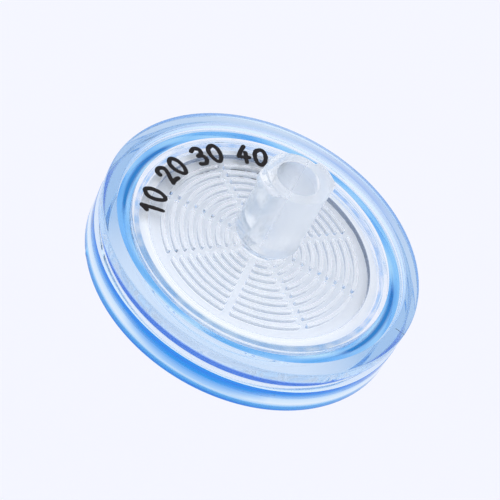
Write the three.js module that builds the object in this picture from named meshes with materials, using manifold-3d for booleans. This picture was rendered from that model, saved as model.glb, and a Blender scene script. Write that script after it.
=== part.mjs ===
// A disposable syringe filter, 33 mm across: two clear moulded shells pinch a membrane disc
// between them, and a tinted band moulded round their rims holds the stack together.
//
// Millimetres, +Z up along the axis. The origin is the centre of the inlet mouth, where the
// syringe fits, so the whole filter hangs below z = 0.

import * as THREE from "three";
import { mergeVertices } from "three/addons/utils/BufferGeometryUtils.js";
import Module from "manifold-3d";

const wasm = await Module();
wasm.setup();

// ---- driving dimensions -------------------------------------------------------------------

// the band
const bandRadius = 16.5;
const bandHeight = 5.75;
const rimWidth = 1.45; // flat ring at the top and the bottom of the band
const rimDraft = 0.12; // how much the rim's inner wall leans in towards its foot
const upperFlangeHeight = 1.3;
const grooveHeight = 1.45; // waist between the two flanges, flanks included
const grooveDepth = 0.6;
const grooveFlank = 0.1; // height of each sloping flank of the waist
const edgeBreak = 0.12; // bevel on the band's outer edges
const troughWidth = 1.6; // moat between the rim and each shell
const lipThickness = 0.4; // band material over each shell's flange
const seam = 0.05; // room left between the band and the shells

// the stack inside the band
const flangeGrip = 0.45; // how far the shells' flanges reach into the band
const inletFlangeThickness = 0.5;
const outletFlangeThickness = 2.35;
const clampWidth = 1.85; // solid ring of each shell outside the open area of the membrane
const plateSink = 0.5; // inlet plate's face below the top of the band
const inletPlateThickness = 0.85;
const inletRibHeight = 0.5;
const ribClearance = 0.1; // inlet ribs stop this far above the membrane
const membraneThickness = 0.15;
const membraneMargin = 0.85; // width of the membrane's pinched edge
const outletRibHeight = 0.8;
const outletPlateThickness = 1.5;
const beadWidth = 0.6; // raised bead round the inlet plate
const beadHeight = 0.08;

// concentric support ribs
const sectorCount = 8;
const sectorTurn = 1.5; // degrees that the first spoke lies past +X
const spokeWidth = 0.6; // clear channel between two sectors
const ribWidth = 0.44;
const ribRimGap = 1.5; // from the middle of the outermost rib to the clamp ring
const inletRibCount = 9;
const inletRibStart = 2.67; // middle of the innermost rib
const outletRibCount = 6;
const outletRibStart = 3.6;

// female lock hub of the inlet
const mouthHeight = 8.7; // above the top of the band
const hubWall = 1.11; // at the mouth
const hubDraft = 0.1; // how much wider the hub is above its neck
const hubMouthRound = 0.2;
const neckRadius = 2.5; // where the hub meets the plate
const neckHeight = 1.3; // of the cone from the plate up to the hub's full width
const socketRadius = 2.14; // at the mouth
const socketDepth = 7.6;
const conicalTaper = 0.03; // radius lost for each millimetre of depth
const feedRadius = 1.0; // hole from the socket into the chamber
const lugReach = 0.67; // how far a lug stands out of the hub
const lugLand = 0.35; // height of a lug's outer face
const lugFlank = 0.55; // height of the slope below it
const lugLead = 28; // degrees, start of the first lug's full radius
const lugSpan = 42; // degrees of full radius
const lugRampIn = 27; // degrees of the gentle end
const lugRampOut = 8; // degrees of the blunt end

// male slip nozzle of the outlet
const nozzleTipRadius = 2.0;
const nozzleLength = 8.0;
const nozzleBore = 1.1;
const bossRadius = 3.3;
const bossHeight = 3.0;
const bossShoulder = 0.35; // bevel at the boss's lower edge

// faces round a full turn
const rimFacets = 72;
const hubFacets = 40;
const ribEndFacets = 3; // on each round end of a rib
const ribFacetLength = 1.8; // longest straight stretch along a rib

// ---- levels along the axis, from the mouth down ---------------------------------------------

const bandTop = -mouthHeight;
const bandBottom = bandTop - bandHeight;
const plateTop = bandTop - plateSink;
const plateUnder = plateTop - inletPlateThickness;
const membraneTop = plateUnder - inletRibHeight - ribClearance;
const membraneUnder = membraneTop - membraneThickness;
const outletPlateTop = membraneUnder - outletRibHeight;
const outletPlateUnder = outletPlateTop - outletPlateThickness;
const bossEnd = outletPlateUnder - bossHeight;
const nozzleTip = bossEnd - nozzleLength;
const inletFlangeTop = membraneTop + inletFlangeThickness;
const outletFlangeUnder = membraneTop - outletFlangeThickness;
const upperTroughFloor = inletFlangeTop + lipThickness;
const lowerTroughFloor = outletFlangeUnder - lipThickness;

// ---- radii shared by pieces that fit together -----------------------------------------------

const rimInner = bandRadius - rimWidth;
const plateRadius = rimInner - troughWidth;
const flangeRadius = plateRadius + flangeGrip;
const chamberRadius = plateRadius - clampWidth;
const outerRibRadius = chamberRadius - ribRimGap;
const membraneRadius = chamberRadius + membraneMargin;
const membranePocket = membraneRadius + seam;
const hubMouthRadius = socketRadius + hubWall;
const hubWideRadius = hubMouthRadius + hubDraft;
const lugRadius = hubMouthRadius + lugReach;
const nozzleRootRadius = nozzleTipRadius + nozzleLength * conicalTaper;

// ---- solids ---------------------------------------------------------------------------------

function asSolid(geometry) {
  geometry.deleteAttribute("normal");
  geometry.deleteAttribute("uv");
  const merged = mergeVertices(geometry, 1e-5);
  return new wasm.Manifold(
    new wasm.Mesh({
      numProp: 3,
      vertProperties: new Float32Array(merged.attributes.position.array),
      triVerts: new Uint32Array(merged.index.array),
    }),
  );
}

function asGeometry(solid) {
  const mesh = solid.getMesh();
  const geometry = new THREE.BufferGeometry();
  geometry.setAttribute("position", new THREE.BufferAttribute(mesh.vertProperties, 3));
  geometry.setIndex(new THREE.BufferAttribute(mesh.triVerts, 1));
  geometry.computeVertexNormals();
  return geometry;
}

// A closed outline of [radius, z] points, counter-clockwise with z up, turned round the axis.
function revolve(outline, facets) {
  const points = [...outline, outline[0]].map(([r, z]) => new THREE.Vector2(r, z));
  const geometry = new THREE.LatheGeometry(points, facets);
  geometry.rotateX(Math.PI / 2);
  return asSolid(geometry);
}

// A flat outline pushed up from z = low to z = high.
function raise(shape, low, high) {
  const geometry = new THREE.ExtrudeGeometry(shape, { depth: high - low, bevelEnabled: false });
  geometry.translate(0, 0, low);
  return asSolid(geometry);
}

// Points of a quarter round in an outline, about [r, z], from facing outwards to facing up.
function quarterRound(r, z, radius, steps = 3) {
  const points = [];
  for (let i = 0; i <= steps; i += 1) {
    const angle = ((Math.PI / 2) * i) / steps;
    points.push([r + radius * Math.cos(angle), z + radius * Math.sin(angle)]);
  }
  return points;
}

// ---- the band: a spool-shaped ring with a moat above and below the shells ---------------------

function band() {
  const waist = bandRadius - grooveDepth;
  const grooveTop = bandTop - upperFlangeHeight;
  const grooveFoot = grooveTop - grooveHeight;
  const lipInner = plateRadius + seam;
  const pocket = flangeRadius + seam;
  return revolve(
    [
      [rimInner, bandTop],
      [rimInner - rimDraft, upperTroughFloor],
      [lipInner, upperTroughFloor],
      [lipInner, inletFlangeTop + seam],
      [pocket, inletFlangeTop + seam],
      [pocket, outletFlangeUnder - seam],
      [lipInner, outletFlangeUnder - seam],
      [lipInner, lowerTroughFloor],
      [rimInner - rimDraft, lowerTroughFloor],
      [rimInner, bandBottom],
      [bandRadius - edgeBreak, bandBottom],
      [bandRadius, bandBottom + edgeBreak],
      [bandRadius, grooveFoot],
      [waist, grooveFoot + grooveFlank],
      [waist, grooveTop - grooveFlank],
      [bandRadius, grooveTop],
      [bandRadius, bandTop - edgeBreak],
      [bandRadius - edgeBreak, bandTop],
    ],
    rimFacets,
  );
}

// ---- concentric ribs ------------------------------------------------------------------------

// Points along an arc, angles in radians; the last point is left to whatever comes next.
function arcPoints(x, y, radius, start, end, steps) {
  const points = [];
  for (let i = 0; i < steps; i += 1) {
    const angle = start + ((end - start) * i) / steps;
    points.push(new THREE.Vector2(x + radius * Math.cos(angle), y + radius * Math.sin(angle)));
  }
  return points;
}

// One arc of a rib: a curved bar with round ends, its middle line at the given radius.
function ribArc(radius, middle, low, high) {
  const half = ribWidth / 2;
  const reach = Math.PI / sectorCount - (spokeWidth / 2 + half) / radius;
  const start = middle - reach;
  const end = middle + reach;
  const steps = Math.max(2, Math.ceil((2 * reach * radius) / ribFacetLength));
  const outline = [
    ...arcPoints(0, 0, radius + half, start, end, steps),
    ...arcPoints(radius * Math.cos(end), radius * Math.sin(end), half, end, end + Math.PI, ribEndFacets),
    ...arcPoints(0, 0, radius - half, end, start, steps),
    ...arcPoints(
      radius * Math.cos(start),
      radius * Math.sin(start),
      half,
      start + Math.PI,
      start + 2 * Math.PI,
      ribEndFacets,
    ),
  ];
  return raise(new THREE.Shape(outline), low, high);
}

// Rings of ribs from the first radius out to the last, which is the same on both shells.
function ribs({ count, first, low, high }) {
  const pitch = (outerRibRadius - first) / (count - 1);
  const arcs = [];
  for (let ring = 0; ring < count; ring += 1) {
    for (let sector = 0; sector < sectorCount; sector += 1) {
      const middle = THREE.MathUtils.degToRad(sectorTurn + (360 / sectorCount) * (sector + 0.5));
      arcs.push(ribArc(first + ring * pitch, middle, low, high));
    }
  }
  return wasm.Manifold.union(arcs);
}

// ---- inlet shell: plate, ribs, lock hub and its two lugs ----------------------------------------

function inletPlate() {
  const beadTop = plateTop + beadHeight;
  return revolve(
    [
      [feedRadius, plateUnder],
      [chamberRadius, plateUnder],
      [chamberRadius, membraneTop],
      [flangeRadius, membraneTop],
      [flangeRadius, inletFlangeTop],
      [plateRadius, inletFlangeTop],
      [plateRadius, beadTop],
      [plateRadius - beadWidth, beadTop],
      [plateRadius - beadWidth - beadHeight, plateTop],
      [feedRadius, plateTop],
    ],
    rimFacets,
  );
}

function hub() {
  const socketFloor = -socketDepth;
  const overlap = inletPlateThickness / 2;
  return revolve(
    [
      [feedRadius, plateTop - overlap],
      [neckRadius, plateTop - overlap],
      [neckRadius, plateTop],
      [hubWideRadius, plateTop + neckHeight],
      ...quarterRound(hubMouthRadius - hubMouthRound, -hubMouthRound, hubMouthRound),
      [socketRadius, 0],
      [socketRadius - socketDepth * conicalTaper, socketFloor],
      [feedRadius, socketFloor],
    ],
    hubFacets,
  );
}

// The plan of one lug: full radius over its span, a long ramp in and a blunt end.
function lugPlan(turn) {
  const inside = (hubMouthRadius + socketRadius) / 2;
  const at = (radius, degrees) => {
    const angle = THREE.MathUtils.degToRad(degrees + turn);
    return [radius * Math.cos(angle), radius * Math.sin(angle)];
  };
  const lugEnd = lugLead + lugSpan;
  const shape = new THREE.Shape();
  shape.moveTo(...at(hubMouthRadius, lugLead - lugRampIn));
  shape.lineTo(...at(lugRadius, lugLead));
  shape.absarc(
    0,
    0,
    lugRadius,
    THREE.MathUtils.degToRad(lugLead + turn),
    THREE.MathUtils.degToRad(lugEnd + turn),
    false,
  );
  shape.lineTo(...at(hubMouthRadius, lugEnd + lugRampOut));
  shape.lineTo(...at(inside, lugEnd + lugRampOut));
  shape.lineTo(...at(inside, lugLead + lugSpan / 2));
  shape.lineTo(...at(inside, lugLead - lugRampIn));
  return shape;
}

// Both lugs: their plans, trimmed to a ring that slopes away underneath.
function lugs() {
  const inside = (hubMouthRadius + socketRadius) / 2;
  const top = -edgeBreak;
  const foot = top - lugLand - lugFlank;
  const ring = revolve(
    [
      [inside - 1, foot],
      [hubMouthRadius, foot],
      [lugRadius, top - lugLand],
      [lugRadius, top - edgeBreak],
      [lugRadius - edgeBreak, top],
      [inside - 1, top],
    ],
    hubFacets,
  );
  const plans = [0, 180].map((turn) => raise(lugPlan(turn), foot - 1, top + 1));
  return wasm.Manifold.union(plans).intersect(ring);
}

function inletShell() {
  const overlap = inletPlateThickness / 4;
  const network = ribs({
    count: inletRibCount,
    first: inletRibStart,
    low: membraneTop + ribClearance,
    high: plateUnder + overlap,
  });
  return inletPlate().add(hub()).add(lugs()).add(network);
}

// ---- outlet shell: ribbed plate and slip nozzle -------------------------------------------------

function outletPlate() {
  return revolve(
    [
      [nozzleBore, outletPlateUnder],
      [plateRadius, outletPlateUnder],
      [plateRadius, outletFlangeUnder],
      [flangeRadius, outletFlangeUnder],
      [flangeRadius, membraneTop],
      [membranePocket, membraneTop],
      [membranePocket, membraneUnder],
      [chamberRadius, membraneUnder],
      [chamberRadius, outletPlateTop],
      [nozzleBore, outletPlateTop],
    ],
    rimFacets,
  );
}

function nozzle() {
  const overlap = outletPlateThickness / 2;
  return revolve(
    [
      [nozzleBore, nozzleTip],
      [nozzleTipRadius - edgeBreak, nozzleTip],
      [nozzleTipRadius, nozzleTip + edgeBreak],
      [nozzleRootRadius, bossEnd],
      [bossRadius - bossShoulder, bossEnd],
      [bossRadius, bossEnd + bossShoulder],
      [bossRadius, outletPlateUnder + overlap],
      [nozzleBore, outletPlateUnder + overlap],
    ],
    hubFacets,
  );
}

function outletShell() {
  const overlap = outletPlateThickness / 4;
  const network = ribs({
    count: outletRibCount,
    first: outletRibStart,
    low: outletPlateTop - overlap,
    high: membraneUnder,
  });
  return outletPlate().add(nozzle()).add(network);
}

// ---- membrane ---------------------------------------------------------------------------------

function membrane() {
  return revolve(
    [
      [0, membraneUnder],
      [membraneRadius, membraneUnder],
      [membraneRadius, membraneTop],
      [0, membraneTop],
    ],
    rimFacets,
  );
}

// ---- the assembly -------------------------------------------------------------------------------

function piece(name, solid, finish) {
  const mesh = new THREE.Mesh(asGeometry(solid), new THREE.MeshStandardMaterial(finish));
  mesh.name = name;
  return mesh;
}

const clearPlastic = { color: 0xdfe6f2, roughness: 0.08, metalness: 0, transparent: true, opacity: 0.35 };
const bluePlastic = { color: 0x6fb2f2, roughness: 0.08, metalness: 0, transparent: true, opacity: 0.5 };
const whiteFilm = { color: 0xeef1f7, roughness: 0.7, metalness: 0 };

const filter = new THREE.Group();
filter.add(piece("inlet_shell", inletShell(), clearPlastic));
filter.add(piece("membrane", membrane(), whiteFilm));
filter.add(piece("outlet_shell", outletShell(), clearPlastic));
filter.add(piece("overmould_band", band(), bluePlastic));

export default filter;
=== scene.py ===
import math
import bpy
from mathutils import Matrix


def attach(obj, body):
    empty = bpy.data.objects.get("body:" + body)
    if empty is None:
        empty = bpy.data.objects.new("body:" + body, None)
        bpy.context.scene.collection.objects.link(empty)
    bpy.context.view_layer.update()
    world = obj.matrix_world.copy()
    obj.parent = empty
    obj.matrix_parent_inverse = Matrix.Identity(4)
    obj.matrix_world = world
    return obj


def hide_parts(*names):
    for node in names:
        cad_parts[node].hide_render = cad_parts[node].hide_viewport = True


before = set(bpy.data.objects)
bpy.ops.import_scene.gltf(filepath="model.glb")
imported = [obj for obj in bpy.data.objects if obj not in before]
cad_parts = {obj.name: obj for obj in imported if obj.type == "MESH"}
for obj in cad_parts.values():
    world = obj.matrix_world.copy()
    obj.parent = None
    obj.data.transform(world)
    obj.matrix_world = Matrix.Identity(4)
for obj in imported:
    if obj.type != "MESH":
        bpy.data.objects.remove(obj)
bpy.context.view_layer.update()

from types import SimpleNamespace

import bmesh
import bpy
from mathutils import Matrix, Vector, noise

bl_info = {
    "name": "Syringe filter",
    "version": (1, 0, 0),
    "blender": (4, 5, 0),
    "location": "3D View > Sidebar > Filter",
    "description": "Builds the clear shells, membrane, tinted band and studio of a syringe filter",
    "category": "Object",
}

MM = 0.001


# ---- sizes and colours ----


def mm(name, description, millimetres):
    """A length property whose default is given in millimetres."""
    kind = {"unit": "LENGTH", "subtype": "DISTANCE", "precision": 5, "min": 0.0}
    size = millimetres * MM
    return bpy.props.FloatProperty(name=name, description=description, default=size, **kind)


def degrees(name, description, value):
    kind = {"unit": "ROTATION", "subtype": "ANGLE"}
    turn = math.radians(value)
    return bpy.props.FloatProperty(name=name, description=description, default=turn, **kind)


def count(name, description, value):
    return bpy.props.IntProperty(name=name, description=description, default=value, min=1)


def colour(name, description, value):
    kind = {"subtype": "COLOR", "size": 3, "min": 0.0, "max": 1.0}
    return bpy.props.FloatVectorProperty(name=name, description=description, default=value, **kind)


class FilterSizes(bpy.types.PropertyGroup):
    """Sizes of the filter's pieces."""

    band_radius: mm("Band radius", "Outer radius of the band", 16.5)
    band_height: mm("Band height", "Height of the band", 5.75)
    rim_width: mm("Rim width", "Width of the flat ring at the band's top and bottom", 1.45)
    rim_draft: mm("Rim draft", "How far the rim's inner wall leans in", 0.12)
    upper_flange: mm("Upper flange", "Height of the band's upper flange", 1.3)
    groove_height: mm("Groove height", "Height of the waist between the flanges", 1.45)
    groove_depth: mm("Groove depth", "Depth of the waist", 0.6)
    groove_flank: mm("Groove flank", "Height of each slope of the waist", 0.1)
    trough_width: mm("Trough width", "Width of the moat between rim and shell", 1.6)
    lip_thickness: mm("Lip thickness", "Band material over each shell's flange", 0.4)
    seam: mm("Seam", "Room between the band and the shells", 0.05)
    flange_grip: mm("Flange grip", "How far the shells reach into the band", 0.45)
    inlet_flange: mm("Inlet flange", "Thickness of the inlet shell's flange", 0.5)
    outlet_flange: mm("Outlet flange", "Thickness of the outlet shell's flange", 2.35)
    clamp_width: mm("Clamp width", "Solid ring outside the membrane's open area", 1.85)
    plate_sink: mm("Plate sink", "Inlet plate's face below the band's top", 0.5)
    inlet_plate: mm("Inlet plate", "Thickness of the inlet plate", 0.85)
    inlet_rib_height: mm("Inlet rib height", "Height of the inlet ribs", 0.5)
    rib_clearance: mm("Rib clearance", "Room between inlet ribs and membrane", 0.1)
    membrane_thickness: mm("Membrane thickness", "Thickness of the membrane", 0.15)
    membrane_margin: mm("Membrane margin", "Width of the membrane's pinched edge", 0.85)
    outlet_rib_height: mm("Outlet rib height", "Height of the outlet ribs", 0.8)
    outlet_plate: mm("Outlet plate", "Thickness of the outlet plate", 1.5)
    tongue_width: mm("Tongue width", "Width of the weld tongue round the membrane", 0.5)
    tongue_sink: mm("Tongue depth", "Weld tongue's top below the plate's top", 0.78)
    bead_width: mm("Bead width", "Width of the raised bead round the inlet plate", 0.6)
    bead_height: mm("Bead height", "Height of that bead", 0.08)
    rib_width: mm("Rib width", "Width of a rib", 0.44)
    spoke_width: mm("Spoke width", "Clear channel between two sectors of ribs", 0.6)
    rib_rim_gap: mm("Rib rim gap", "From the outermost rib to the clamp ring", 1.5)
    inlet_rib_start: mm("Inlet rib start", "Radius of the innermost inlet rib", 2.67)
    outlet_rib_start: mm("Outlet rib start", "Radius of the innermost outlet rib", 3.6)
    mouth_height: mm("Mouth height", "Inlet mouth above the band's top", 8.7)
    hub_wall: mm("Hub wall", "Wall of the hub at its mouth", 1.11)
    hub_draft: mm("Hub draft", "How much wider the hub is above its neck", 0.1)
    neck_radius: mm("Neck radius", "Radius of the hub where it meets the plate", 2.5)
    neck_height: mm("Neck height", "Height of the cone up to the hub's full width", 1.3)
    hub_round: mm("Hub round", "Rounding of the hub's mouth", 0.2)
    socket_radius: mm("Socket radius", "Radius of the socket at the mouth", 2.14)
    socket_depth: mm("Socket depth", "Depth of the tapered socket", 7.6)
    feed_radius: mm("Feed radius", "Hole from the socket into the chamber", 1.0)
    lug_reach: mm("Lug reach", "How far a lug stands out of the hub", 0.67)
    lug_land: mm("Lug land", "Height of a lug's outer face", 0.35)
    lug_flank: mm("Lug flank", "Height of the slope below it", 0.55)
    tip_radius: mm("Tip radius", "Radius of the nozzle's tip", 2.0)
    nozzle_length: mm("Nozzle length", "Length of the nozzle", 8.0)
    nozzle_bore: mm("Nozzle bore", "Radius of the hole down the nozzle", 1.1)
    boss_radius: mm("Boss radius", "Radius of the boss over the nozzle", 3.3)
    boss_height: mm("Boss height", "Height of that boss", 3.0)
    boss_shoulder: mm("Boss shoulder", "Bevel at the boss's lower edge", 0.35)
    lug_lead_height: mm("Lug rise", "How far a full turn of a lug's underside would rise", 5.9)
    knit_width: mm("Knit line width", "Width of the knit line across the rim", 0.07)
    ink_height: mm("Figure height", "Height of a printed figure", 2.1)
    ink_stroke: mm("Stroke width", "Width of an inked stroke", 0.5)
    ink_relief: mm("Ink relief", "Thickness of the ink on the plate", 0.025)
    ink_radius: mm("Ink radius", "Radius of the printed row's foot", 10.35)
    edge_break: mm("Edge break", "Bevel on outer edges", 0.12)
    sector_turn: degrees("Sector turn", "How far the first spoke lies past +X", 1.5)
    lug_lead: degrees("Lug lead", "Start of the first lug's full radius", 28.0)
    lug_span: degrees("Lug span", "Arc of a lug's full radius", 42.0)
    lug_ramp_in: degrees("Lug ramp in", "Arc of a lug's gentle end", 27.0)
    lug_ramp_out: degrees("Lug ramp out", "Arc of a lug's blunt end", 8.0)
    sectors: count("Sectors", "Number of rib sectors", 8)
    inlet_rings: count("Inlet rings", "Rings of ribs on the inlet shell", 9)
    outlet_rings: count("Outlet rings", "Rings of ribs on the outlet shell", 6)
    facets: count("Facets", "Faces round a full turn", 256)


class FilterColours(bpy.types.PropertyGroup):
    """Colours of the filter's finishes."""

    clear: colour("Clear plastic", "Tint of the clear shells", (0.986, 0.991, 0.998))
    blue: colour("Blue tint", "Colour that the band's plastic lets through", (0.22, 0.61, 0.91))
    film: colour("Membrane", "Colour of the membrane", (0.95, 0.962, 0.976))
    ink: colour("Ink", "Colour of the printed numbers", (0.01, 0.008, 0.008))
    floor: colour("Floor", "Colour of the floor", (0.913, 0.921, 1.0))


TAPER = 0.03  # radius lost for each unit of depth in a conical fitting
HAIR = 0.01 * MM  # how far bonded plastics sink into each other, and the air round the membrane
SOFT = 0.06 * MM  # rounding of the mouldings' crisp edges, and the draft of a rib
TONGUE_GAP = 0.05 * MM  # from the membrane's pocket to the weld tongue
ON_AXIS = 1e-9  # a point this near to the axis lies on it
SAME_SPOT = 1e-8  # corners this near to each other are one


def measures():
    """The sizes in use, with every level and radius that follows from them."""
    s = bpy.context.scene.filter_sizes
    m = SimpleNamespace(**{name: getattr(s, name) for name in FilterSizes.__annotations__})
    m.band_top = -m.mouth_height
    m.band_bottom = m.band_top - m.band_height
    m.plate_top = m.band_top - m.plate_sink
    m.plate_under = m.plate_top - m.inlet_plate
    m.membrane_top = m.plate_under - m.inlet_rib_height - m.rib_clearance
    m.membrane_under = m.membrane_top - m.membrane_thickness
    m.outlet_top = m.membrane_under - m.outlet_rib_height
    m.outlet_under = m.outlet_top - m.outlet_plate
    m.boss_end = m.outlet_under - m.boss_height
    m.nozzle_tip = m.boss_end - m.nozzle_length
    m.inlet_flange_top = m.membrane_top + m.inlet_flange
    m.outlet_flange_under = m.membrane_top - m.outlet_flange
    m.upper_floor = m.inlet_flange_top + m.lip_thickness
    m.lower_floor = m.outlet_flange_under - m.lip_thickness
    m.rim_inner = m.band_radius - m.rim_width
    m.plate_radius = m.rim_inner - m.trough_width
    m.groove_foot = m.band_top - m.upper_flange - m.groove_height
    m.flange_radius = m.plate_radius + m.flange_grip
    m.chamber_radius = m.plate_radius - m.clamp_width
    m.outer_rib = m.chamber_radius - m.rib_rim_gap
    m.membrane_radius = m.chamber_radius + m.membrane_margin
    m.pocket_radius = m.membrane_radius + m.seam
    m.tongue_radius = m.pocket_radius + TONGUE_GAP
    m.tongue_top = m.plate_top - m.tongue_sink
    m.hub_mouth = m.socket_radius + m.hub_wall
    m.hub_wide = m.hub_mouth + m.hub_draft
    m.lug_radius = m.hub_mouth + m.lug_reach
    m.nozzle_root = m.tip_radius + m.nozzle_length * TAPER
    return m


# ---- outlines and closed meshes ----


def clamp(share):
    return min(max(share, 0.0), 1.0)


def polar(radius, angle, z=0.0):
    return radius * math.cos(angle), radius * math.sin(angle), z


def rounded(corners, steps=4):
    """A closed outline of (r, z) or (r, z, rounding) corners, each rounding turned into an arc."""
    outline = []
    total = len(corners)
    for i, corner in enumerate(corners):
        r, z, rounding = (*corner, 0.0)[:3]
        here = Vector((r, z))
        back = Vector(corners[i - 1][:2]) - here
        ahead = Vector(corners[(i + 1) % total][:2]) - here
        if not rounding or not back.length or not ahead.length:
            outline.append(here)
            continue
        half = back.angle(ahead) / 2
        reach = min(rounding / math.tan(half), back.length * 0.49, ahead.length * 0.49)
        radius = reach * math.tan(half)
        inward = (back.normalized() + ahead.normalized()).normalized()
        centre = here + inward * (radius / math.sin(half))
        first = here + back.normalized() * reach - centre
        last = here + ahead.normalized() * reach - centre
        sweep = first.angle_signed(last)
        for step in range(steps + 1):
            turn = Matrix.Rotation(-sweep * step / steps, 2)
            outline.append(centre + turn @ first)
    return outline


def loft(name, sections, closed=False):
    """Joins rings of places into a closed mesh; a ring of one is a pole, open rows get caps."""
    mesh = bmesh.new()
    rings = [[mesh.verts.new(place) for place in section] for section in sections]
    most = max(len(ring) for ring in rings)
    for ring, nearby in zip(rings, rings[1:] + rings[:1] if closed else rings[1:]):
        if len(ring) == len(nearby) == 1:
            continue
        for k in range(most):
            corners = ((ring, k), (ring, k + 1), (nearby, k + 1), (nearby, k))
            mesh.faces.new(list(dict.fromkeys(row[i % len(row)] for row, i in corners)))
    if not closed:
        mesh.faces.new(rings[0])
        mesh.faces.new(rings[-1])
    bmesh.ops.recalc_face_normals(mesh, faces=mesh.faces)
    return to_object(name, mesh)


def revolve(name, outline, facets):
    """Turns a closed outline round the Z axis; points on the axis become poles."""
    sections = []
    for r, z in outline:
        spots = 1 if r < ON_AXIS else facets
        sections.append([polar(r, 2 * math.pi * k / facets, z) for k in range(spots)])
    return loft(name, sections, closed=True)


def to_object(name, mesh):
    data = bpy.data.meshes.new(name)
    mesh.to_mesh(data)
    mesh.free()
    thing = bpy.data.objects.new(name, data)
    bpy.context.scene.collection.objects.link(thing)
    return thing


def apply_modifiers(thing):
    """Replaces the object's mesh by its evaluated one and drops the modifiers."""
    bpy.context.view_layer.update()
    graph = bpy.context.evaluated_depsgraph_get()
    result = bpy.data.meshes.new_from_object(thing.evaluated_get(graph), depsgraph=graph)
    thing.modifiers.clear()
    thing.data = result
    return thing


def join_solid(thing, other, operation="UNION"):
    """Joins or cuts one closed mesh by another, and removes the other."""
    modifier = thing.modifiers.new("join", "BOOLEAN")
    modifier.operation = operation
    modifier.solver = "MANIFOLD"
    modifier.object = other
    apply_modifiers(thing)
    bpy.data.objects.remove(other)
    return thing


def shade(thing, sharp_above=32.0):
    """Smooth shading, broken at edges that turn by more than the given degrees."""
    mesh = bmesh.new()
    mesh.from_mesh(thing.data)
    bmesh.ops.remove_doubles(mesh, verts=mesh.verts, dist=SAME_SPOT)
    limit = math.radians(sharp_above)
    for face in mesh.faces:
        face.smooth = True
    for edge in mesh.edges:
        edge.smooth = len(edge.link_faces) == 2 and edge.calc_face_angle(0.0) < limit
    mesh.to_mesh(thing.data)
    mesh.free()
    even = thing.modifiers.new("even", "WEIGHTED_NORMAL")
    even.keep_sharp = True
    return apply_modifiers(thing)


# ---- node trees ----


class Tree:
    """Short calls for adding nodes to a tree and linking them."""

    def __init__(self, tree):
        self.tree = tree

    def add(self, kind, *links, **settings):
        """Adds a node; links fill its inputs in order."""
        made = self.tree.nodes.new(kind)
        for key, value in settings.items():
            setattr(made, key, value)
        self.fill(made, enumerate(links))
        return made

    def fill(self, made, pairs):
        """Links or sets the inputs named or numbered in the pairs."""
        for key, value in pairs:
            socket = made.inputs[key]
            if isinstance(value, bpy.types.NodeSocket):
                self.tree.links.new(value, socket)
            else:
                socket.default_value = value

    def set(self, made, **values):
        """Fills inputs by name, with underscores for spaces."""
        self.fill(made, ((key.replace("_", " "), value) for key, value in values.items()))
        return made

    def make(self, kind, *links, **values):
        """Adds a node and returns its first output; inputs are capitalised, settings are not."""
        settings = {key: values.pop(key) for key in list(values) if key.islower()}
        return self.set(self.add(kind, *links, **settings), **values).outputs[0]

    def math(self, operation, *values):
        return self.make("ShaderNodeMath", *values, operation=operation)

    def join(self, *parts):
        """Joins geometries."""
        made = self.add("GeometryNodeJoinGeometry")
        for part in parts:
            self.tree.links.new(part, made.inputs[0])
        return made.outputs[0]

    def span(self, value, given, wanted, interpolation="LINEAR"):
        """Maps a value from one range to another, and holds it at the ends."""
        ends = (*given, *wanted)
        return self.make("ShaderNodeMapRange", value, *ends, interpolation_type=interpolation)

    def noise(self, where, scale, detail):
        return self.make("ShaderNodeTexNoise", Vector=where, Scale=scale, Detail=detail)

    def bump(self, height, strength, distance):
        return self.make("ShaderNodeBump", Height=height, Strength=strength, Distance=distance)

    def mix(self, share, first, second, blend_type="MIX"):
        """Mixes two colours."""
        made = self.add("ShaderNodeMix", data_type="RGBA", blend_type=blend_type)
        self.fill(made, [(0, share), (6, first), (7, second)])
        return made.outputs[2]


NEARLY_HALF = 0.499  # of a rib's width, as the radius of its round ends
RIB_WELD = 1e-7  # corners of a rib this near to each other are one


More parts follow.
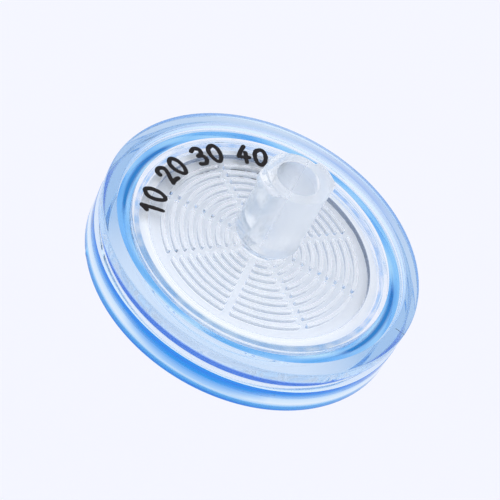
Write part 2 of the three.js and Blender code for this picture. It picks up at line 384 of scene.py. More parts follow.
def rib_tree(values):
    """Concentric ribs with round ends: bent bars in rings, copied round the axis by sector."""
    group = bpy.data.node_groups.new("rib_network", "GeometryNodeTree")
    for name, value in values.items():
        kind = "NodeSocket" + {int: "Int", float: "Float"}.get(type(value), "Material")
        group.interface.new_socket(name, in_out="INPUT", socket_type=kind)
    group.interface.new_socket("Geometry", in_out="OUTPUT", socket_type="NodeSocketGeometry")
    t = Tree(group)
    given = t.add("NodeGroupInput").outputs
    width, low = given["Rib Width"], given["Low"]

    begin = t.add("GeometryNodeRepeatInput")
    end = t.add("GeometryNodeRepeatOutput")
    begin.pair_with_output(end)
    t.set(begin, Iterations=given["Rings"])
    spread = t.math("SUBTRACT", given["Last Radius"], given["First Radius"])
    pitch = t.math("DIVIDE", spread, t.math("SUBTRACT", given["Rings"], 1.0))
    radius = t.math("MULTIPLY_ADD", begin.outputs["Iteration"], pitch, given["First Radius"])
    sector = t.math("DIVIDE", 2 * math.pi, given["Sectors"])
    bar_length = t.math("SUBTRACT", t.math("MULTIPLY", sector, radius), given["Spoke Width"])

    flat = "GeometryNodeCurvePrimitiveQuadrilateral"
    bar = t.make(flat, mode="RECTANGLE", Width=bar_length, Height=width)
    half = t.math("MULTIPLY", width, NEARLY_HALF)
    ends = t.make("GeometryNodeFilletCurve", mode="POLY", Curve=bar, Count=5, Radius=half)
    even = t.make("GeometryNodeResampleCurve", mode="LENGTH", Curve=ends, Length=given["Step"])
    base = t.make("GeometryNodeFillCurve", mode="NGONS", Curve=even)
    tall = t.math("SUBTRACT", given["High"], low)
    lift = t.add("GeometryNodeExtrudeMesh", mode="FACES")
    t.set(lift, Mesh=base, Offset=t.make("ShaderNodeCombineXYZ", 0.0, 0.0, 1.0))
    t.set(lift, Offset_Scale=tall, Individual=False)
    closed = t.join(lift.outputs[0], t.make("GeometryNodeFlipFaces", base))
    solid = t.make("GeometryNodeMergeByDistance", Geometry=closed, Distance=RIB_WELD)

    place = t.add("ShaderNodeSeparateXYZ", t.make("GeometryNodeInputPosition")).outputs
    widen = t.math("SUBTRACT", given["High Inset"], given["Low Inset"])
    inset = t.math("MULTIPLY_ADD", t.math("DIVIDE", place[2], tall), widen, given["Low Inset"])
    inset = t.math("MULTIPLY", inset, 2.0)
    along = t.math("SUBTRACT", 1.0, t.math("DIVIDE", inset, bar_length))
    across = t.math("SUBTRACT", 1.0, t.math("DIVIDE", inset, width))
    angle = t.math("DIVIDE", t.math("MULTIPLY", place[0], along), radius)
    out = t.math("SUBTRACT", radius, t.math("MULTIPLY", place[1], across))
    x = t.math("MULTIPLY", out, t.math("COSINE", angle))
    y = t.math("MULTIPLY", out, t.math("SINE", angle))
    bent = t.make("ShaderNodeCombineXYZ", x, y, t.math("ADD", place[2], low))
    rib = t.make("GeometryNodeSetPosition", Geometry=solid, Position=bent)
    t.set(end, Geometry=t.join(begin.outputs["Geometry"], rib))

    spots = t.add("GeometryNodeMeshLine", mode="OFFSET", count_mode="TOTAL")
    t.set(spots, Count=given["Sectors"], Offset=(0.0, 0.0, 0.0))
    middle = t.math("MULTIPLY", t.math("ADD", t.make("GeometryNodeInputIndex"), 0.5), sector)
    spin = t.make("ShaderNodeCombineXYZ", 0.0, 0.0, t.math("ADD", middle, given["Turn"]))
    copies = t.add("GeometryNodeInstanceOnPoints", spots.outputs[0])
    t.set(copies, Instance=end.outputs["Geometry"], Rotation=spin)
    real = t.make("GeometryNodeRealizeInstances", copies.outputs[0])
    done = t.make("GeometryNodeSetMaterial", Geometry=real, Material=given["Material"])
    t.add("NodeGroupOutput", done)
    return group


def rib_network(name, material, m, rings, start, low, high, step):
    """Runs the rib tree and returns its plain mesh; low and high are levels with their insets."""
    values = {"Rings": rings, "Sectors": m.sectors, "Turn": m.sector_turn, "Material": material}
    values.update({"First Radius": start, "Last Radius": m.outer_rib, "Step": step})
    values.update({"Rib Width": m.rib_width, "Spoke Width": m.spoke_width})
    values["Low"], values["Low Inset"] = low
    values["High"], values["High Inset"] = high
    group = bpy.data.node_groups.get("rib_network") or rib_tree(values)
    holder = to_object(name, bmesh.new())
    modifier = holder.modifiers.new("ribs", "NODES")
    modifier.node_group = group
    for item in group.interface.items_tree:
        if item.in_out == "INPUT":
            modifier[item.identifier] = values[item.name]
    holder.update_tag()
    return apply_modifiers(holder)


# ---- finishes ----

WHITE = (1.0, 1.0, 1.0, 1.0)
PLASTIC_IOR = 1.5
BAND_DENSITY = 90.0  # absorption of the blue plastic, per metre
FLOW_SCALE = 260.0  # features of each noise, per metre
HAZE_SCALE = 420.0
PORE_SCALE = 3000.0
PATCH_SCALE = 1500.0
PLATE_MATT = 0.02  # roughnesses
HUB_MATT = (0.14, 0.3)  # left and right
SOCKET_SHARE = 0.2  # of the hub's roughness that the moulded socket has
BAND_MATT = 0.012
WAIST_MATT = 0.16


def new_material(name):
    material = bpy.data.materials.new(name)
    material.use_nodes = True
    t = Tree(material.node_tree)
    shader = material.node_tree.nodes["Principled BSDF"]
    output = material.node_tree.nodes["Material Output"]
    where = t.add("ShaderNodeTexCoord").outputs["Object"]
    return material, t, shader, output, where


def chosen(finish):
    """The colour in use for a finish, with its alpha."""
    return (*getattr(bpy.context.scene.filter_colours, finish), 1.0)


def plastic(name, tint, ripple):
    """Clear moulded plastic with faint flow ripples, and the sockets that its finishes build on."""
    material, t, shader, output, where = new_material(name)
    t.set(shader, Base_Color=tint, IOR=PLASTIC_IOR, Transmission_Weight=1.0)
    t.set(shader, Normal=t.bump(t.noise(where, FLOW_SCALE, 2.0), ripple, 0.1 * MM))
    place = t.add("ShaderNodeSeparateXYZ", where).outputs
    flat = t.make("ShaderNodeCombineXYZ", place[0], place[1], 0.0)
    reach = t.add("ShaderNodeVectorMath", flat, operation="LENGTH").outputs["Value"]
    skin = t.add("ShaderNodeAttribute", attribute_name="tint").outputs["Color"]
    at = SimpleNamespace(where=where, place=place, reach=reach, skin=skin)
    return material, t, shader, output, at


def clear_plastic():
    """The clear shells: polished plate, faintly matt hub, smoother socket."""
    m = measures()
    tint = chosen("clear")
    material, t, shader, _, at = plastic("clear_plastic", tint, 0.004)
    across = (-2.4 * MM, 0.6 * MM)
    hub = t.span(at.place[0], across, HUB_MATT)
    rise = (m.plate_top + 0.2 * MM, m.plate_top + 0.9 * MM)
    matt = t.span(at.place[2], rise, (PLATE_MATT, hub), "SMOOTHSTEP")
    mouth = (m.socket_radius - 0.12 * MM, m.socket_radius - 0.02 * MM)
    share = t.span(at.reach, mouth, (SOCKET_SHARE, 1.0))
    t.set(shader, Roughness=t.math("MULTIPLY", matt, share))
    t.set(shader, Base_Color=t.mix(1.0, tint, at.skin, "MULTIPLY"))
    return material


def blue_plastic():
    """Pale blue plastic with fine handling haze; its tints colour only the light that enters."""
    m = measures()
    material, t, shader, output, at = plastic("blue_plastic", WHITE, 0.006)
    leaving = t.add("ShaderNodeNewGeometry").outputs["Backfacing"]
    t.set(shader, Base_Color=t.mix(leaving, at.skin, WHITE))
    haze = t.noise(at.where, HAZE_SCALE, 3.0)
    matt = t.span(haze, (0.0, 1.0), (0.6 * BAND_MATT, 1.6 * BAND_MATT))
    shadow = m.groove_foot + m.groove_height / 3
    off = t.math("ABSOLUTE", t.math("SUBTRACT", at.place[2], shadow))
    fade = (m.groove_height / 2, m.groove_height / 3)
    waist = t.span(off, fade, (0.0, WAIST_MATT), "SMOOTHSTEP")
    outer = t.math("GREATER_THAN", at.reach, m.band_radius - m.groove_depth - 0.1 * MM)
    t.set(shader, Roughness=t.math("MULTIPLY_ADD", waist, outer, matt))
    dye = t.make("ShaderNodeVolumeAbsorption", Color=chosen("blue"), Density=BAND_DENSITY)
    t.set(output, Volume=dye)
    return material


# tints stored on the plastics' corners, as linear colours, painted light and shade among them
CLEAR = (1.0, 1.0, 1.0)
RIM = (0.37, 0.56, 0.78)
# painted shade and painted light in stretches round the rim's top
RIM_PAINTED_SHADE = (0.2, 0.36, 0.78)
RIM_PAINTED_LIGHT = (0.8, 0.86, 0.88)
RIM_WALL = (0.42, 0.62, 0.93)
# the band's own blue down its side, with its stripes of deep and pale blue painted in as light and
# shade
WALL = (  # depth below the band's top, as a share of its height, and colour
    (0.17, (0.66, 0.78, 0.9)),
    (0.19, (0.6, 0.8, 1.0)),
    (0.21, (0.2, 0.4, 1.0)),
    (0.226, (0.08, 0.22, 1.0)),
    (0.478, (0.0, 0.13, 0.74)),
    (0.5, (0.0, 0.085, 0.75)),
    (0.53, (0.0, 0.11, 0.78)),
    (0.56, (0.0, 0.17, 0.8)),
    (0.6, (0.06, 0.29, 0.84)),
    (0.64, (0.2, 0.5, 0.95)),
    (0.7, (0.58, 0.83, 0.98)),
    (0.8, (0.82, 0.95, 1.0)),
    (0.835, (0.42, 0.68, 0.93)),
    (0.87, (0.08, 0.38, 0.82)),
    (0.905, (0.01, 0.26, 0.76)),
    (0.96, (0.01, 0.26, 0.76)),
)
WALL_UPPER, WALL_LOWER = 3, 5  # rows on the upper flange, and before the lower one's first
# painted shade on the waist's upper part, under the upper flange, paler on the far side
WAIST_SHADE = (0.008, 0.066, 0.62)
WAIST_SHADE_FAR = (0.3, 0.5, 0.95)
FLOOR = (0.12, 0.5, 0.98)
FLOOR_NEAR_SHADE = (0.064, 0.35, 0.93)
FLOOR_DEEP = (0.015, 0.23, 0.8)
FLOOR_PALE = (0.32, 0.74, 1.0)
FLOOR_RINGS = (0.3, 0.38, 0.46, 0.54, 0.62, 0.7, 0.78, 0.88)  # shares of the trough's width
# dark crescents of painted shade on the trough's floor, where the view runs along the ring
CRESCENT_SHADE = (0.0, 0.06, 0.36)
SHADE_CRESCENTS = ((179.0, 32.0), (352.0, 34.0))  # middle and half length, as azimuths in degrees
CRESCENT_MIDDLE, CRESCENT_HALF = 0.375, 0.24  # across the trough, as shares of its width
SHADOW = (0.07, 0.095, 0.14)
DEEP_SHADOW = (0.03, 0.045, 0.08)
# painted shade at the ribs' feet
RIB_FOOT_SHADE = (0.6, 0.64, 0.68)
LAVENDER = (0.2, 0.44, 0.86)
BEAD_SHADE = (0.66, 0.77, 0.82)
HUB_SHADE = (0.7, 0.77, 0.84)
# stretches of the rim's painted shade and painted light, and of the chamber's painted shadow
RIM_SHADE_ARC = (68.0, 25.0)  # middle and half width of each stretch, in degrees
RIM_LIGHT_ARC = (98.0, 30.0)
SHADOW_ARC = (35.0, 25.0)
PARTLY, MOSTLY = 0.5, 0.7  # shares of a face's normal that count as facing some way
TOUCH, CLOSE, NEAR, HOLLOW = 0.05 * MM, 0.1 * MM, 0.2 * MM, 0.25 * MM  # room round a surface


def blend(a, b, share):
    share = clamp(share)
    return tuple(x + (y - x) * share for x, y in zip(a, b))


def wall_tint(depth, front):
    """Colour of the band's side, with painted light and shade; straight ahead the lower flange's
    deep blue of painted shade reaches lower.
    """
    foot, edge = 0.478, 0.83
    if foot < depth < edge:
        depth = foot + (depth - foot) / (1.0 + 1.1 * front)
    for (low, first), (high, last) in zip(WALL, WALL[1:]):
        if depth <= high:
            return blend(first, last, (depth - low) / (high - low))
    return WALL[-1][1]


def paint(thing, choose):
    """Stores each corner's tint, which choose(face, its radius, its outwardness, place) gives."""
    mesh = bmesh.new()
    mesh.from_mesh(thing.data)
    layer = mesh.loops.layers.float_color.new("tint")
    for face in mesh.faces:
        middle = face.calc_center_median()
        radius = max(math.hypot(middle.x, middle.y), 1e-6)
        outward = (face.normal.x * middle.x + face.normal.y * middle.y) / radius
        for loop in face.loops:
            loop[layer] = (*choose(face, radius, outward, loop.vert.co), 1.0)
    keep = [tuple(n.vector) for n in thing.data.corner_normals]
    mesh.to_mesh(thing.data)
    mesh.free()
    thing.data.normals_split_custom_set(keep)


def around(place):
    """A place's azimuth in degrees."""
    return math.degrees(math.atan2(place.y, place.x)) % 360


def arcs_off(place, middle, half):
    """How far a place lies from an azimuth, in half widths of its stretch."""
    return abs(around(place) - middle) / half


def crescent_shade_share(m, place, reach):
    """How far the trough's floor turns to the dark blue of the nearer crescent of painted shade."""
    for middle, half in SHADE_CRESCENTS:
        along = abs((around(place) - middle + 180.0) % 360.0 - 180.0) / half
        if along < 1.0:
            taper = 1.0 - along * along
            off = abs(reach - m.plate_radius - CRESCENT_MIDDLE * m.trough_width)
            across = 1.0 - off / (CRESCENT_HALF * m.trough_width * taper)
            return clamp(2.2 * across) * min(1.7 * taper, 1.0)
    return 0.0


def band_tint(m):
    """The band's tints: steel blue rim, deep blue side, streaked floors in its troughs; painted
    light and shade lighten or darken the rim, the side, the waist and the floors in stretches.
    """
    waist = m.band_radius - m.groove_depth
    shadow = m.groove_foot + 0.2 * m.groove_height

    def choose(face, radius, outward, place):
        reach = math.hypot(place.x, place.y)
        near = -place.y / reach
        level = face.normal.z
        bottom = m.upper_floor if level > 0 else m.lower_floor
        if outward > PARTLY and radius > m.band_radius - NEAR:
            depth = (m.band_top - place.z) / m.band_height
            return wall_tint(depth, clamp((near - 0.88) / 0.12))
        if outward > PARTLY and radius > waist - CLOSE:
            # painted shadow of the upper flange over the waist's upper part
            if face.calc_center_median().z > shadow:
                return blend(WAIST_SHADE_FAR, WAIST_SHADE, (near + 0.2) / 0.3)
            return CLEAR
        if level > MOSTLY and place.z > m.band_top - CLOSE:
            # painted light: the rim's near side turns clear; painted shade and light lie in
            # stretches round it
            rim = blend(RIM, CLEAR, (near - 0.5) / 0.35)
            if reach < m.band_radius - m.rim_width / 2:
                return blend(rim, RIM_PAINTED_SHADE, 1.4 - arcs_off(place, *RIM_SHADE_ARC))
            return blend(rim, RIM_PAINTED_LIGHT, 1.4 - arcs_off(place, *RIM_LIGHT_ARC))
        if outward < -PARTLY and radius > m.rim_inner - NEAR and place.z > m.upper_floor:
            return blend(CLEAR, RIM_WALL, (place.z - m.upper_floor) / m.plate_sink - 0.5)
        if abs(level) > MOSTLY and abs(place.z - bottom) < HOLLOW:
            # painted shade deepens the floor's blue on the near side
            floor = blend(FLOOR, FLOOR_NEAR_SHADE, 0.5 + near)
            turn = Vector((3.0 * place.x / reach, 3.0 * place.y / reach, reach * 1800))
            streak = 1.6 * noise.noise(turn)
            floor = blend(blend(floor, FLOOR_DEEP, streak), FLOOR_PALE, -streak)
            # dark crescents of painted shade
            return blend(floor, CRESCENT_SHADE, crescent_shade_share(m, place, reach))
        return CLEAR

    return choose


def shell_tint(m):
    """The clear shells' tints: painted shadow in the chamber and at the ribs' feet, blue in the
    weld, and painted shade on the bead and the hub.
    """
    bead = m.plate_radius - m.bead_width - 1.1 * m.bead_height
    hub_foot = m.plate_top + 0.5 * m.neck_height

    def choose(face, radius, outward, place):
        level = face.normal.z
        on_wall = abs(radius - m.chamber_radius) < TOUCH and outward < -PARTLY
        if on_wall and place.z > m.membrane_top:
            dark = blend(SHADOW, DEEP_SHADOW, 1.6 - arcs_off(place, *SHADOW_ARC))
            return blend(dark, CLEAR, -place.y / radius / 0.25)
        # painted shade on the ribs' sides, darkest at their feet by the membrane
        on_rib = radius < m.outer_rib + m.rib_width and abs(level) < PARTLY
        if on_rib and m.membrane_top < place.z < m.plate_under:
            height = place.z - m.membrane_top - m.rib_clearance
            return blend(RIB_FOOT_SHADE, CLEAR, height / m.inlet_rib_height / 0.8)
        on_weld = abs(place.z - m.tongue_top) < TOUCH and radius > m.tongue_radius
        if on_weld and level < -MOSTLY:
            patch = noise.noise(place * 900) + 0.6 * noise.noise(place * 400)
            return blend(LAVENDER, CLEAR, 0.25 + 0.8 * patch)
        if level > PARTLY and bead < radius < m.plate_radius:
            return blend(CLEAR, BEAD_SHADE, (-place.y / radius - 0.2) / 0.5)
        on_hub = outward > MOSTLY and m.neck_radius < radius < m.lug_radius + HAIR
        if on_hub and place.z > hub_foot:
            return blend(CLEAR, HUB_SHADE, -1.5 * place.x / radius - 0.2)
        return CLEAR

    return choose


def white_film():
    """Matt porous film, with painted shade that makes it a little darker towards the back."""
    material, t, shader, _, where = new_material("white_film")
    film = chosen("film")
    pores = t.noise(where, PORE_SCALE, 4.0)
    shades = t.mix(pores, (*(c * 0.97 for c in film[:3]), 1.0), film)
    depth = t.add("ShaderNodeSeparateXYZ", where).outputs[1]
    # painted shade: the film darkens towards the back
    dim = t.span(depth, (-8 * MM, 1 * MM), (1.0, 0.9), "SMOOTHSTEP")
    shades = t.make("ShaderNodeVectorMath", shades, operation="SCALE", Scale=dim)
    t.set(shader, Base_Color=shades, Roughness=0.75)
    t.set(shader, Normal=t.bump(pores, 0.2, 0.02 * MM))
    return material


def dress(thing, material, node=None):
    """Gives a finished piece its material and its place in the frame."""
    thing.data.materials.clear()
    thing.data.materials.append(material)
    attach(thing, "root")
    if node:
        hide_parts(node)


# ---- marks of the moulding ----

GATE_AZIMUTH = math.radians(316.5)
GATE_DEPTH = 0.72 * MM  # middle of the gate scar below the band's top
GATE_HALVES = (1.5 * MM, 0.62 * MM)  # half its width and height
GATE_CHIP = 0.24 * MM  # how rough it is
PIMPLE_AZIMUTH = math.radians(211)
PIMPLE_DEPTH = 5.3 * MM
PIMPLE_SIZE = (0.3 * MM, 0.14 * MM)  # radius and height
KNIT_AZIMUTH = math.radians(352.2)
KNIT_LENGTH, KNIT_DEPTH = 1.05 * MM, 0.22 * MM
PARTING_AZIMUTH = math.radians(268.6)
PARTING_END = -1.7 * MM


def mark_band(band, m):
    """Roughens the gate scar on the upper flange and raises a pimple low on the band's side."""
    for vert in band.data.vertices:
        x, y, z = vert.co
        reach = math.hypot(x, y)
        if reach < m.band_radius - 0.3 * MM:
            continue
        depth = m.band_top - z
        azimuth = math.atan2(y, x) % (2 * math.pi)
        across = (azimuth - GATE_AZIMUTH) * m.band_radius / GATE_HALVES[0]
        down = (depth - GATE_DEPTH) / GATE_HALVES[1]
        scar = max(1.0 - across**4 - down**4, 0.0) ** 0.5
        coarse = noise.noise(Vector((azimuth * 62, z * 4200, 1.7)))
        chip = coarse + 0.5 * noise.noise(Vector((azimuth * 150, z * 9000, 5.1)))
        aside = (azimuth - PIMPLE_AZIMUTH) * m.band_radius
        off = math.hypot(aside, depth - PIMPLE_DEPTH) / PIMPLE_SIZE[0]
        shift = GATE_CHIP * scar * (chip - 0.1) + PIMPLE_SIZE[1] * math.exp(-off * off)
        vert.co.x += shift * x / reach
        vert.co.y += shift * y / reach


def knit_wedge(m):
    """A thin wedge that cuts the knit line across the outer part of the rim."""
    half = m.knit_width / 2
    turn = Matrix.Rotation(KNIT_AZIMUTH, 3, "Z")
    corners = ((-half, 0.05 * MM), (half, 0.05 * MM), (0.0, -KNIT_DEPTH))
    sections = []
    for reach in (m.band_radius - KNIT_LENGTH, m.band_radius + 0.2 * MM):
        places = (Vector((reach, side, m.band_top + lift)) for side, lift in corners)
        sections.append([turn @ place for place in places])
    return loft("knit_wedge", sections)


def parting_line(m, turn):
    """The thin raised line that the mould halves leave down the hub's side."""
    out = Vector(polar(1.0, PARTING_AZIMUTH + turn))
    side = Vector((-out.y, out.x, 0.0)) * MM
    sections = []
    for z, wide in ((m.plate_top + m.neck_height, m.hub_wide), (PARTING_END, m.hub_mouth)):
        root, crest = wide - 0.2 * MM, wide + 0.035 * MM
        corners = ((root, -0.05), (crest, -0.02), (crest, 0.02), (root, 0.05))
        level = Vector((0, 0, z))
        sections.append([out * reach + side * across + level for reach, across in corners])
    return loft("parting_line", sections)


# ---- pieces ----


def lug(m, turn):
    """One locking lug: its section swept round the hub, rising from a ramp and ending bluntly."""
    bevel = m.edge_break
    top = -bevel
    foot = top - m.lug_land - m.lug_flank
    inside = (m.hub_mouth + m.socket_radius) / 2
    buried = m.hub_mouth - bevel
    begin, lead, end = m.lug_lead - m.lug_ramp_in, m.lug_lead, m.lug_lead + m.lug_span
    stations = [(begin, buried)]
    start, crest = Vector(polar(m.hub_mouth, begin)), Vector(polar(m.lug_radius, lead))
    for i in range(1, 12):
        point = start.lerp(crest, i / 12)
        stations.append((math.atan2(point.y, point.x), point.length))
    for i in range(17):
        stations.append((lead + m.lug_span * i / 16, m.lug_radius))
    for i in range(1, 7):
        rise = (m.lug_reach + bevel) * math.cos(math.pi / 2 * i / 6)
        stations.append((end + m.lug_ramp_out * i / 6, buried + rise))
    sections = []
    for angle, radius in stations:
        reach = max(radius - m.hub_mouth, 0.0) / m.lug_reach
        root = foot + m.lug_lead_height * (angle - lead - m.lug_span / 2) / (2 * math.pi)
        section = (
            (inside, root),
            (buried, root),
            (radius, root + m.lug_flank * (0.3 + 0.35 * reach)),
            (radius, top - bevel),
            (radius - bevel * 0.3, top - bevel * 0.3),
            (radius - bevel, top),
            (inside, top),
        )
        sections.append([polar(r, angle + turn, z) for r, z in section])
    return loft("lug", sections)


class FILTER_OT_inlet_shell(bpy.types.Operator):
    """Build the clear inlet shell: plate, ribs, lock hub and lugs"""

    bl_idname = "syringe_filter.inlet_shell"
    bl_label = "Inlet shell"

    def execute(self, context):
        m = measures()
        bead = m.plate_top + m.bead_height
        under = m.membrane_top - HAIR
        tongue, tongue_out = m.tongue_radius + HAIR, m.tongue_radius + m.tongue_width - HAIR
        corners = [
            (m.feed_radius, m.plate_under, SOFT),
            (m.chamber_radius, m.plate_under, SOFT),
            (m.chamber_radius, m.membrane_top + HAIR),
            (m.pocket_radius, m.membrane_top + HAIR),
            (m.pocket_radius, under),
            (tongue, under),
            (tongue, m.tongue_top - HAIR),
            (tongue_out, m.tongue_top - HAIR),
            (tongue_out, under),
            (m.flange_radius, under),
            (m.flange_radius, m.inlet_flange_top),
            (m.plate_radius, m.inlet_flange_top),
            (m.plate_radius, bead, 0.1 * MM),
            (m.plate_radius - m.bead_width, bead, SOFT),
            (m.plate_radius - m.bead_width - m.bead_height, m.plate_top, SOFT),
            (m.neck_radius, m.plate_top, 0.12 * MM),
            (m.hub_wide, m.plate_top + m.neck_height, 0.35 * MM),
            (m.hub_mouth, 0.0, m.hub_round),
            (m.socket_radius, 0.0, 0.1 * MM),
            (m.socket_radius - m.socket_depth * TAPER, -m.socket_depth, 0.1 * MM),
            (m.feed_radius, -m.socket_depth, SOFT),
        ]
        shell = revolve("inlet_shell_clear", rounded(corners, 5), m.facets)
        for turn in (0.0, math.pi):
            join_solid(shell, lug(m, turn))
            join_solid(shell, parting_line(m, turn))
        material = clear_plastic()
        low = (m.membrane_top + m.rib_clearance, SOFT)
        high = (m.plate_under + m.inlet_plate / 4, 0.0)
        layout = (m.inlet_rings, m.inlet_rib_start, low, high, 0.12 * MM)
        join_solid(shell, rib_network("inlet_ribs", material, m, *layout))
        shade(shell)
        paint(shell, shell_tint(m))
        dress(shell, material, "inlet_shell")
        return {"FINISHED"}


class FILTER_OT_outlet_shell(bpy.types.Operator):
    """Build the clear outlet shell: support ribs, plate, boss and slip nozzle"""

    bl_idname = "syringe_filter.outlet_shell"
    bl_label = "Outlet shell"

    def execute(self, context):
        m = measures()
        tongue_out = m.tongue_radius + m.tongue_width
        corners = [
            (m.nozzle_bore, m.nozzle_tip, 0.08 * MM),
            (m.tip_radius, m.nozzle_tip, m.edge_break),
            (m.nozzle_root, m.boss_end, 0.15 * MM),
            (m.boss_radius, m.boss_end, m.boss_shoulder),
            (m.boss_radius, m.outlet_under, 0.3 * MM),
            (m.plate_radius, m.outlet_under, 0.1 * MM),
            (m.plate_radius, m.outlet_flange_under),
            (m.flange_radius, m.outlet_flange_under),
            (m.flange_radius, m.membrane_top),
            (tongue_out, m.membrane_top),
            (tongue_out, m.tongue_top),
            (m.tongue_radius, m.tongue_top),
            (m.tongue_radius, m.membrane_top),
            (m.pocket_radius, m.membrane_top),
            (m.pocket_radius, m.membrane_under, 0.03 * MM),
            (m.chamber_radius, m.membrane_under, SOFT),
            (m.chamber_radius, m.outlet_top, SOFT),
            (m.nozzle_bore, m.outlet_top, SOFT),
        ]
        shell = revolve("outlet_shell_clear", rounded(corners), m.facets)
        material = clear_plastic()
        low, high = (m.outlet_top - m.outlet_plate / 4, 0.0), (m.membrane_under, SOFT)
        layout = (m.outlet_rings, m.outlet_rib_start, low, high, 0.15 * MM)
        join_solid(shell, rib_network("outlet_ribs", material, m, *layout))
        shade(shell)
        paint(shell, shell_tint(m))
        dress(shell, material, "outlet_shell")
        return {"FINISHED"}


class FILTER_OT_membrane(bpy.types.Operator):
    """Build the white membrane disc"""

    bl_idname = "syringe_filter.membrane"
    bl_label = "Membrane"

    def execute(self, context):
        m = measures()
        low, high = m.membrane_under + HAIR, m.membrane_top - HAIR
        outline = [(0.0, low), (m.membrane_radius, low), (m.membrane_radius, high), (0.0, high)]
        disc = revolve("membrane_film", outline, m.facets)
        shade(disc)
        dress(disc, white_film(), "membrane")
        return {"FINISHED"}


STROKES = {  # each figure's pen strokes, as points in hundredths of its height
    "0": ("28,100 6,80 2,42 17,5 38,2 55,30 56,70 44,96",),
    "1": ("12,76 20,84 32,100", "32,100 33,50 31,0"),
    "2": ("4,76 12,96 34,102 52,84 44,56 22,26 5,3", "5,3 30,6 58,2"),
    "3": ("6,90 28,102 50,88 46,64 22,53", "22,53 48,47 55,24 36,2 5,7"),
    "4": ("40,102 20,66 3,33", "3,33 30,30 60,34", "44,62 43,30 42,-1"),
}
FIGURES = "10203040"
AZIMUTHS = (199.0, 189.5, 173.0, 163.5, 147.5, 138.0, 122.0, 112.5)  # of the figures, clockwise
CAP_ANGLES = [math.radians(angle) for angle in (30, 55, 75, 86)]
INK_SINK = 0.01 * MM  # how far the ink's underside lies in the plate


def smooth_path(points, closed, steps=7):
    """A round curve through the points."""
    count = len(points)
    path = []
    for i in range(count if closed else count - 1):
        near = (i - 1, i, i + 1, i + 2)
        a, b, c, d = (points[k % count if closed else min(max(k, 0), count - 1)] for k in near)
        slope, bend, twist = c - a, 2 * a - 5 * b + 4 * c - d, 3 * b - a - 3 * c + d
        for step in range(steps):
            t = step / steps
            path.append(0.5 * (2 * b + slope * t + bend * t**2 + twist * t**3))
    if not closed:
        path.append(points[-1])
    return path


def pen_stroke(m, points, closed, middle, seed):
    """A ribbon of ink along one stroke, bent round the plate, with round ends and uneven edges."""
    scale = m.ink_height
    points = [Vector([int(share) / 100 for share in point.split(",")]) for point in points.split()]
    path = smooth_path([point * scale for point in points], closed)
    half = m.ink_stroke / 2
    stations = [(point, half) for point in path]
    if not closed:
        first, last = (path[0] - path[1]).normalized(), (path[-1] - path[-2]).normalized()
        caps = [(half * math.sin(angle), half * math.cos(angle)) for angle in CAP_ANGLES]
        stations = [(path[0] + first * far, wide) for far, wide in reversed(caps)] + stations
        stations += [(path[-1] + last * far, wide) for far, wide in caps]
    total = len(stations)
    low, high = m.plate_top - INK_SINK, m.plate_top + m.ink_relief
    middle_level = (low + high) / 2
    profile = ((-1.0, low), (1.0, low), (1.0, middle_level))
    profile += ((0.75, high), (-0.75, high), (-1.0, middle_level))
    sections = []
    for i, (point, wide) in enumerate(stations):
        back = stations[i - 1][0] if closed or i else point
        ahead = stations[(i + 1) % total][0] if closed or i < total - 1 else point
        way = (ahead - back).normalized()
        side = Vector((-way.y, way.x))
        wide *= 1.0 + 0.14 * noise.noise(Vector((point.x * 2600, point.y * 2600, seed)))
        section = []
        for share, z in profile:
            spot = point + side * wide * share
            angle = middle - (spot.x - 0.3 * scale) / (m.ink_radius + 0.5 * scale)
            section.append(polar(m.ink_radius + spot.y, angle, z))
        sections.append(section)
    return loft("stroke", sections, closed)


def black_ink():
    """Matt black ink, a little thin in places."""
    material, t, shader, _, where = new_material("black_ink")
    ink = chosen("ink")
    patches = t.noise(where, PATCH_SCALE, 3.0)
    shades = t.mix(patches, ink, (*(2.2 * c for c in ink[:3]), 1.0))
    t.set(shader, Base_Color=shades, Roughness=0.6, Specular_IOR_Level=0.15)
    return material


class FILTER_OT_figures(bpy.types.Operator):
    """Print the row of plain figures on the inlet plate"""

    bl_idname = "syringe_filter.figures"
    bl_label = "Figures"

    def execute(self, context):
        m = measures()
        row = None
        for seed, (figure, azimuth) in enumerate(zip(FIGURES, AZIMUTHS)):
            middle = math.radians(azimuth)
            for points in STROKES[figure]:
                stroke = pen_stroke(m, points, figure == "0", middle, seed * 3.3)
                row = join_solid(row, stroke) if row else stroke
        row.name = "figures_ink"
        shade(row, 50.0)
        dress(row, black_ink())
        return {"FINISHED"}


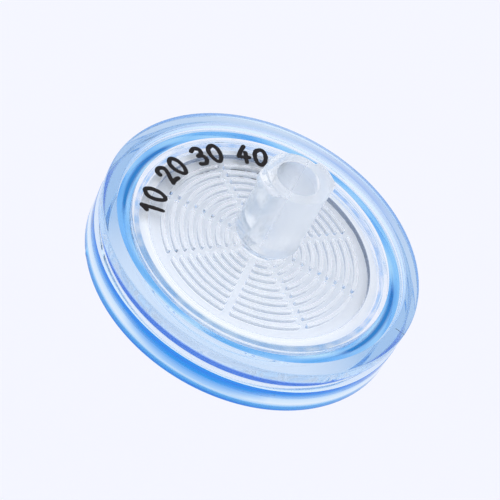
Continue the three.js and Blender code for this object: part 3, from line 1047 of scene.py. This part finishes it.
class FILTER_OT_band(bpy.types.Operator):
    """Build the blue tinted band round both shells"""

    bl_idname = "syringe_filter.band"
    bl_label = "Band"

    def execute(self, context):
        m = measures()
        waist = m.band_radius - m.groove_depth
        groove_top, groove_foot = m.band_top - m.upper_flange, m.groove_foot
        lip, pocket = m.plate_radius - HAIR, m.flange_radius - HAIR
        flange_top, flange_under = m.inlet_flange_top - HAIR, m.outlet_flange_under + HAIR
        wall = [(m.band_radius, m.band_top - share * m.band_height) for share, _ in WALL]
        corners = [
            (m.rim_inner, m.band_top, 0.12 * MM),
            (m.rim_inner - m.rim_draft, m.upper_floor, 0.2 * MM),
            *((m.rim_inner - share * m.trough_width, m.upper_floor) for share in FLOOR_RINGS),
            (lip, m.upper_floor, SOFT),
            (lip, flange_top),
            (pocket, flange_top),
            (pocket, flange_under),
            (lip, flange_under),
            (lip, m.lower_floor, SOFT),
            (m.rim_inner - m.rim_draft, m.lower_floor, 0.2 * MM),
            (m.rim_inner, m.band_bottom, 0.12 * MM),
            (m.band_radius, m.band_bottom, m.edge_break),
            *reversed(wall[WALL_LOWER:]),
            (m.band_radius, groove_foot, SOFT),
            (waist, groove_foot + m.groove_flank, 0.15 * MM),
            (waist, groove_foot + 0.27 * m.groove_height),
            (waist, groove_top - m.groove_flank, 0.15 * MM),
            (m.band_radius, groove_top, SOFT),
            *reversed(wall[:WALL_UPPER]),
            (m.band_radius, m.band_top, m.edge_break),
        ]
        band = revolve("band_blue", rounded(corners), 2 * m.facets)
        mark_band(band, m)
        join_solid(band, knit_wedge(m), "DIFFERENCE")
        shade(band)
        paint(band, band_tint(m))
        dress(band, blue_plastic(), "overmould_band")
        return {"FINISHED"}


# ---- stage ----

CAMERA_DISTANCE = 174.17 * MM
CAMERA_ELEVATION = math.radians(43.546)
CAMERA_ROLL = math.radians(29.594)
CAMERA_OFFSET = (-1.441 * MM, -1.253 * MM)  # sideways and up from the centre of the band's top
CAMERA_LENS = 129.0  # millimetres on a 36 mm sensor
FLOOR_DROP = 60 * MM
DARK_AZIMUTH = math.radians(80)
DARK_ELEVATION = math.radians(35)


def place_camera(m):
    """Looks down on the band's top from the front, rolled so that the axis leans to the right."""
    back = Vector((0, -math.cos(CAMERA_ELEVATION), math.sin(CAMERA_ELEVATION)))
    right = Vector((1, 0, 0))
    up = back.cross(right)
    side = math.cos(CAMERA_ROLL) * right + math.sin(CAMERA_ROLL) * up
    rise = -math.sin(CAMERA_ROLL) * right + math.cos(CAMERA_ROLL) * up
    spot = Vector((0, 0, m.band_top)) + CAMERA_OFFSET[0] * side + CAMERA_OFFSET[1] * rise
    spot += CAMERA_DISTANCE * back
    data = bpy.data.cameras.new("camera")
    data.lens = CAMERA_LENS
    data.sensor_width = 36.0
    data.clip_start = 0.01
    camera = bpy.data.objects.new("camera", data)
    turn = Matrix((side, rise, back)).transposed().to_4x4()
    camera.matrix_world = Matrix.Translation(spot) @ turn
    bpy.context.scene.collection.objects.link(camera)
    bpy.context.scene.camera = camera


def floor_material():
    """A pale floor that takes the object's shadow, and looks plain through the plastic."""
    material, t, shader, output, _ = new_material("floor")
    pale = chosen("floor")
    t.set(shader, Base_Color=pale, Roughness=0.9)
    glow = t.make("ShaderNodeEmission", Color=pale, Strength=1.0)
    ray = t.add("ShaderNodeLightPath").outputs
    seen = t.math("MAXIMUM", ray["Is Glossy Ray"], ray["Is Transmission Ray"])
    seen = t.math("MAXIMUM", ray["Is Camera Ray"], seen)
    share = t.math("MULTIPLY", seen, 0.9)
    t.set(output, Surface=t.make("ShaderNodeMixShader", share, shader.outputs[0], glow))
    return material


def studio_world():
    """Soft white dome with a darker patch beyond the object, which draws its edges."""
    world = bpy.data.worlds.new("studio")
    world.use_nodes = True
    bpy.context.scene.world = world
    t = Tree(world.node_tree)
    background = world.node_tree.nodes["Background"]
    way = t.add("ShaderNodeTexCoord").outputs["Generated"]
    patch = Vector(polar(1.0, DARK_AZIMUTH, math.tan(DARK_ELEVATION))).normalized()
    facing = t.add("ShaderNodeVectorMath", way, tuple(patch), operation="DOT_PRODUCT")
    ramp = t.add("ShaderNodeValToRGB", facing.outputs["Value"])
    ramp.color_ramp.interpolation = "EASE"
    stops = ramp.color_ramp.elements
    stops[0].position, stops[0].color = 0.7, (0.94, 0.96, 1.0, 1.0)
    stops[1].position, stops[1].color = 0.93, (0.62, 0.68, 0.82, 1.0)
    t.set(background, Color=ramp.outputs[0], Strength=1.15)


class FILTER_OT_stage(bpy.types.Operator):
    """Set the pale floor, the soft studio light and the camera"""

    bl_idname = "syringe_filter.stage"
    bl_label = "Stage"

    def execute(self, context):
        m = measures()
        mesh = bmesh.new()
        bmesh.ops.create_grid(mesh, x_segments=1, y_segments=1, size=2.0)
        bmesh.ops.translate(mesh, verts=mesh.verts, vec=(0, 0, -FLOOR_DROP))
        floor = to_object("floor", mesh)
        floor.data.materials.append(floor_material())
        studio_world()
        place_camera(m)
        scene = context.scene
        scene.view_settings.view_transform = "Standard"
        scene.cycles.max_bounces = 128
        scene.cycles.transmission_bounces = 96
        scene.cycles.glossy_bounces = 96
        scene.cycles.blur_glossy = 0.0
        scene.cycles.diffuse_bounces = 8
        return {"FINISHED"}


class FILTER_PT_panel(bpy.types.Panel):
    """Buttons and sizes of the syringe filter"""

    bl_idname = "FILTER_PT_panel"
    bl_label = "Syringe filter"
    bl_space_type = "VIEW_3D"
    bl_region_type = "UI"
    bl_category = "Filter"

    def draw(self, context):
        for operator in OPERATORS:
            self.layout.operator(operator.bl_idname)
        for group in (context.scene.filter_sizes, context.scene.filter_colours):
            for name in group.__annotations__:
                self.layout.prop(group, name)


OPERATORS = (
    FILTER_OT_inlet_shell,
    FILTER_OT_outlet_shell,
    FILTER_OT_membrane,
    FILTER_OT_figures,
    FILTER_OT_band,
    FILTER_OT_stage,
)
CLASSES = (FilterSizes, FilterColours, *OPERATORS, FILTER_PT_panel)


def register():
    for item in CLASSES:
        bpy.utils.register_class(item)
    bpy.types.Scene.filter_sizes = bpy.props.PointerProperty(type=FilterSizes)
    bpy.types.Scene.filter_colours = bpy.props.PointerProperty(type=FilterColours)


def unregister():
    del bpy.types.Scene.filter_colours
    del bpy.types.Scene.filter_sizes
    for item in reversed(CLASSES):
        bpy.utils.unregister_class(item)


def main():
    register()
    bpy.ops.syringe_filter.inlet_shell()
    bpy.ops.syringe_filter.outlet_shell()
    bpy.ops.syringe_filter.membrane()
    bpy.ops.syringe_filter.figures()
    bpy.ops.syringe_filter.band()
    bpy.ops.syringe_filter.stage()


if __name__ == "__main__":
    main()
